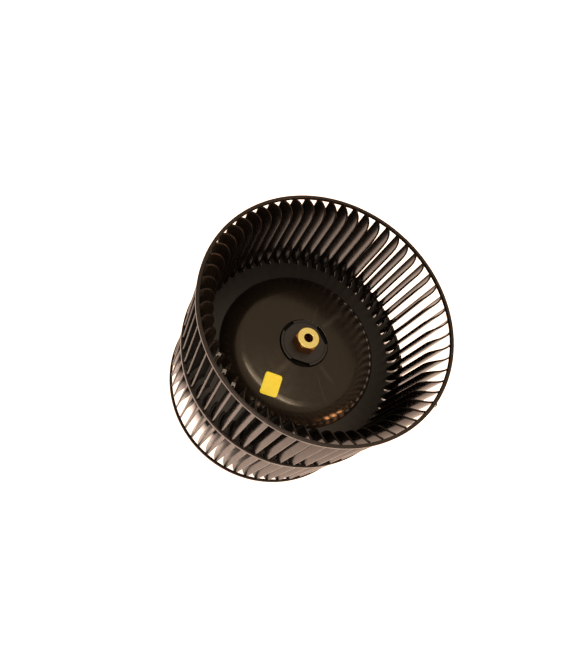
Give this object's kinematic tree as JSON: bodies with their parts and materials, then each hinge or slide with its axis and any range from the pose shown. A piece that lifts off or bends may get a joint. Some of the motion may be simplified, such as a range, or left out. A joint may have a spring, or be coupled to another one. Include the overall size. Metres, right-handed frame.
{
  "type": "blower motor wheel",
  "caption": "Double-inlet centrifugal blower wheel in black plastic, with curved blades round an open middle, a raised dish and a hexagonal brass hub bushing.",
  "frame": {"origin": "centre of the wheel's bounding box, on the spin axis", "axes": "+Z along the spin axis out of the front inlet, the side where the hexagonal bushing stands proud; the motor shaft comes in from -Z; +X is the reference direction for the blades' angles, counted anticlockwise seen from +Z"},
  "size_m": [0.2032, 0.2032, 0.1744],
  "materials": {
    "moulding": "satin black moulded plastic with a brown cast",
    "brass": "turned and drawn brass",
    "screw_steel": "black oxide alloy steel",
    "clip_steel": "bright spring steel",
    "label": "yellow paper"
  },
  "bodies": {
    "wheel": {"front_rim": "moulding", "front_blades": "moulding", "mid_ring": "moulding", "blade_web": "moulding", "rear_blades": "moulding", "rear_rim": "moulding", "dish_wall": "moulding", "dish_top": "moulding", "hub_collar": "moulding", "hub_core": "moulding", "hub_disc": "moulding", "hub_gussets": "moulding", "brass_bushing": "brass", "balance_clips": "clip_steel", "inspection_label": "label"},
    "screw": {"set_screw": "screw_steel"}
  },
  "joints": [
    {"name": "set_screw_travel", "type": "slide", "parent": "wheel", "child": "screw", "axis": [0.225, 0.9744, 0], "range_m": [0, 0.004]}
  ]
}
